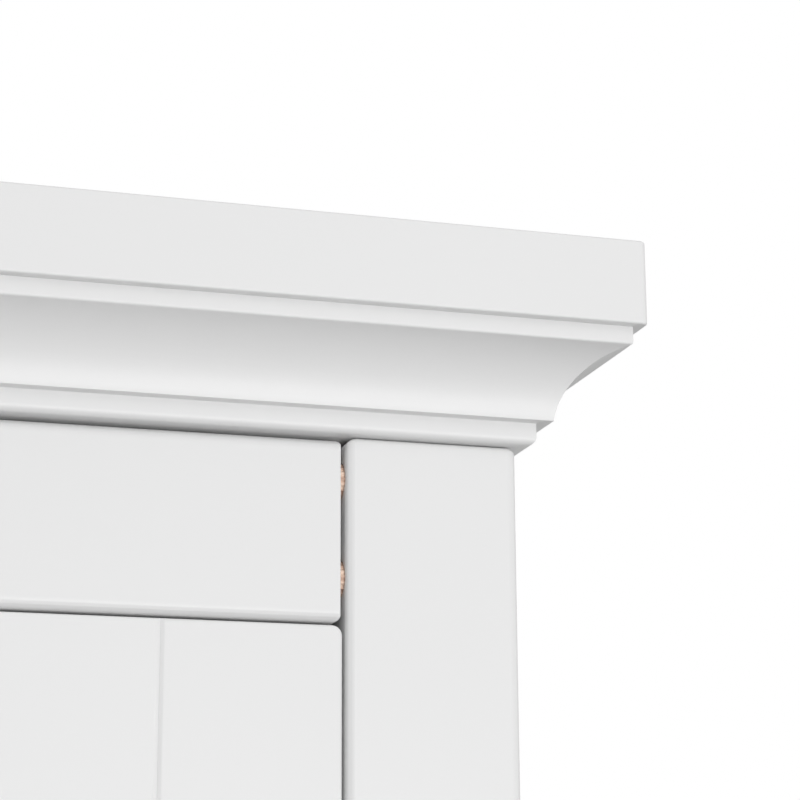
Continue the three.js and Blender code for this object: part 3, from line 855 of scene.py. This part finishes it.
rod = {
    "wall": 1.5 * mm,
    "cupGap": 0.4 * mm,
    "cup": [(0, 0), (24, 0), (24, 1.6), (22.8, 2.8), (21.6, 3), (17, 3), (16, 4), (16, 13.2), (15.2, 14)],
    "flange": 3 * mm, "cupTall": 14 * mm,
    "screwRing": 20 * mm, "screwTurns": (90, 210, 330),
}
rodLow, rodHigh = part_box("hanging_rod")
rodMiddle = middleOf("hanging_rod")
rodRadius = (rodHigh - rodLow).z / 2
rodLength = rodHigh.x - rodLow.x
inner = rodRadius - rod["wall"]
tube = [(inner, 0), (rodRadius, 0), (rodRadius, rodLength), (inner, rodLength), (inner, 0)]
bm = turnedShape(tube, (rodLow.x, rodMiddle.y, rodMiddle.z), (1, 0, 0), 64)
finishPiece(linkMesh("hangingRod", bm), "chrome", 0, "case", ["hanging_rod"])
cupScrews = []
for side, way in sides.items():
    node = f"{side}_rod_cup"
    seat = Vector((faceX(node, way), rodMiddle.y, rodMiddle.z))
    profile = [(radius * mm, up * mm) for radius, up in rod["cup"]]
    mouth = rodRadius + rod["cupGap"]
    profile += [(mouth, rod["cupTall"]), (mouth, rod["flange"]), (0, rod["flange"])]
    cup = linkMesh(camelName(node), turnedShape(profile, seat, (-way, 0, 0), 64))
    for turn in rod["screwTurns"]:
        spoke = Vector((0, math.cos(math.radians(turn)), math.sin(math.radians(turn))))
        place = seat + spoke * rod["screwRing"] - Vector((way * rod["flange"], 0, 0))
        carve(cup, screwHole(place, (-way, 0, 0)))
        cupScrews.append((place, (-way, 0, 0)))
    finishPiece(cup, "chrome", 0, "case", [node])
addFittings("rodCupScrews", "nickel", "case", screwMesh, cupScrews)
print("rod fitted")


# Runners: a ledge under the drawer's side and a guide beside it, with three screws to a guide

runner = {"ledgeTall": 14 * mm, "guideGap": 1 * mm, "ease": 0.8 * mm, "screwsIn": 60 * mm,
          "screwDrop": 14 * mm}
for side, way in sides.items():
    node = f"{side}_drawer_runner"
    low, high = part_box(node)
    guideX = faceX(f"drawer_{side}_side", way) + way * runner["guideGap"]
    piece = linkMesh(camelName(node), roundedBlock(low, high, 0, runner["ease"], runner["ease"]))
    rebate = bmesh.new()
    addBlock(rebate, Vector((guideX, low.y - overrun, low.z + runner["ledgeTall"])),
             Vector((0, high.y + overrun, high.z + overrun)))
    carve(piece, rebate)
    places = []
    for share in (0, 0.5, 1):
        along = low.y + runner["screwsIn"] + share * (high.y - low.y - 2 * runner["screwsIn"])
        places.append((Vector((guideX, along, high.z - runner["screwDrop"])), (-way, 0, 0)))
    for seat, out in places:
        carve(piece, screwHole(seat, out))
    finishPiece(piece, "pine", 1, "case", [node])
    addFittings(camelName(f"{side}_runner_screws"), "nickel", "case", screwMesh, places)
print("runners fitted")


# Nails: round the back panel, and through the drawer's sides into its back

nails = {"head": 2.4 * mm, "headThick": 1 * mm, "proud": 0.4 * mm,
         "pitch": 150 * mm, "in": 9 * mm, "fromFoot": 30 * mm, "drawerPitch": 50 * mm}
nailMesh = discMesh(nails["head"], nails["headThick"])


def spread(low, high, pitch):
    count = max(1, round((high - low) / pitch))
    return [low + (high - low) * i / count for i in range(count + 1)]


low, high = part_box("back_panel")
backY = high.y + nails["proud"]
backNails = []
for z in spread(low.z + nails["fromFoot"], high.z - nails["in"], nails["pitch"]):
    backNails += [(Vector((x, backY, z)), (0, 1, 0)) for x in (low.x + nails["in"], high.x - nails["in"])]
for z in [high.z - nails["in"]] + [middleOf(shelf).z for shelf in shelves]:
    between = spread(low.x + nails["in"], high.x - nails["in"], nails["pitch"])[1:-1]
    backNails += [(Vector((x, backY, z)), (0, 1, 0)) for x in between]
addFittings("backPanelNails", "nickel", "case", nailMesh, backNails)

drawerBack = middleOf("drawer_back")
drawerNails = []
for side, way in sides.items():
    for up in (-nails["drawerPitch"], 0, nails["drawerPitch"]):
        seat = Vector((faceX(f"drawer_{side}_side", way), drawerBack.y, drawerBack.z + up))
        drawerNails.append((seat, (way, 0, 0)))
addFittings("drawerNails", "nickel", "drawer", nailMesh, drawerNails)
print("nails driven")


# Camera, floor and light

camera = {
    "fromCorner": (-0.2102, -0.5907, -0.2040),  # from the top right front corner of the case
    "yaw": 16.57, "pitch": 14.61, "roll": -0.27, "lens": 101.9,
}


def addCamera():
    data = bpy.data.cameras.new("camera")
    data.lens = camera["lens"]
    data.sensor_width = 36
    data.clip_start = 0.01
    data.clip_end = 100
    thing = bpy.data.objects.new("camera", data)
    bpy.context.scene.collection.objects.link(thing)
    thing.location = Vector((halfWidth, faceY, slabTop)) + Vector(camera["fromCorner"])
    turn = Matrix.Rotation(-math.radians(camera["yaw"]), 3, "Z")
    turn = turn @ Matrix.Rotation(math.pi / 2 + math.radians(camera["pitch"]), 3, "X")
    turn = turn @ Matrix.Rotation(math.radians(camera["roll"]), 3, "Z")
    thing.rotation_euler = turn.to_euler()
    bpy.context.scene.camera = thing


studio = {
    "backdrop": 1.0,  # brightness behind the object
    "above": 0.62, "below": 0.34,  # brightness of the light that comes from above and from below
    "floorReach": 60,
}
lamps = {
    "key": {"size": 2.2, "power": 9, "place": (1.2, -2.6, 2.9), "aim": (0.2, -0.25, 1.8)},
    "fill": {"size": 3.0, "power": 168, "place": (1.3, -4.6, 0.3), "aim": (0.3, -0.25, 1.7)},
    "back": {"size": 3, "power": 60, "place": (-1.5, 4.5, 3), "aim": (0, 0.25, 1)},
}


# White behind the object, and a light from above that is stronger than the one from below
def addWorld():
    world = bpy.data.worlds.new("studio")
    bpy.context.scene.world = world
    world.use_nodes = True
    tree = world.node_tree
    backdrop = tree.nodes["Background"]
    backdrop.inputs["Color"].default_value = (1, 1, 1, 1)
    backdrop.inputs["Strength"].default_value = studio["backdrop"]
    coordinates = tree.nodes.new("ShaderNodeTexCoord")
    direction = tree.nodes.new("ShaderNodeSeparateXYZ")
    height = tree.nodes.new("ShaderNodeMapRange")
    height.inputs["From Min"].default_value = -0.3
    height.inputs["From Max"].default_value = 0.3
    height.inputs["To Min"].default_value = studio["below"]
    height.inputs["To Max"].default_value = studio["above"]
    light = tree.nodes.new("ShaderNodeBackground")
    light.inputs["Color"].default_value = (1, 1, 1, 1)
    path = tree.nodes.new("ShaderNodeLightPath")
    mix = tree.nodes.new("ShaderNodeMixShader")
    links = tree.links
    links.new(coordinates.outputs["Generated"], direction.inputs["Vector"])
    links.new(direction.outputs["Z"], height.inputs["Value"])
    links.new(height.outputs["Result"], light.inputs["Strength"])
    links.new(path.outputs["Is Camera Ray"], mix.inputs["Fac"])
    links.new(light.outputs["Background"], mix.inputs[1])
    links.new(backdrop.outputs["Background"], mix.inputs[2])
    links.new(mix.outputs["Shader"], tree.nodes["World Output"].inputs["Surface"])


def addFloor():
    bm = bmesh.new()
    bmesh.ops.create_circle(bm, cap_ends=True, segments=96, radius=studio["floorReach"])
    floor = linkMesh("floor", bm)
    material, tree, shader, place = startMaterial("floorPaper")
    cloud = addNoise(tree, place, (2, 2, 2), 2)
    pale = [(0.3, (0.90, 0.90, 0.89)), (0.7, (0.92, 0.92, 0.91))]
    tree.links.new(addRamp(tree, cloud, pale), shader.inputs["Base Color"])
    shader.inputs["Roughness"].default_value = 0.9
    shader.inputs["Specular IOR Level"].default_value = 0
    floor.data.materials.append(material)
    floor.visible_diffuse = False


def addLamp(name, lamp):
    light = bpy.data.lights.new(name, "AREA")
    light.shape = "DISK"
    light.size = lamp["size"]
    light.energy = lamp["power"]
    thing = bpy.data.objects.new(name, light)
    bpy.context.scene.collection.objects.link(thing)
    thing.location = lamp["place"]
    aim = Vector(lamp["aim"]) - thing.location
    thing.rotation_euler = aim.to_track_quat("-Z", "Y").to_euler()


bpy.context.scene.view_settings.view_transform = "Standard"
addCamera()
addWorld()
addFloor()
for name, lamp in lamps.items():
    addLamp(name, lamp)
print("studio lit")
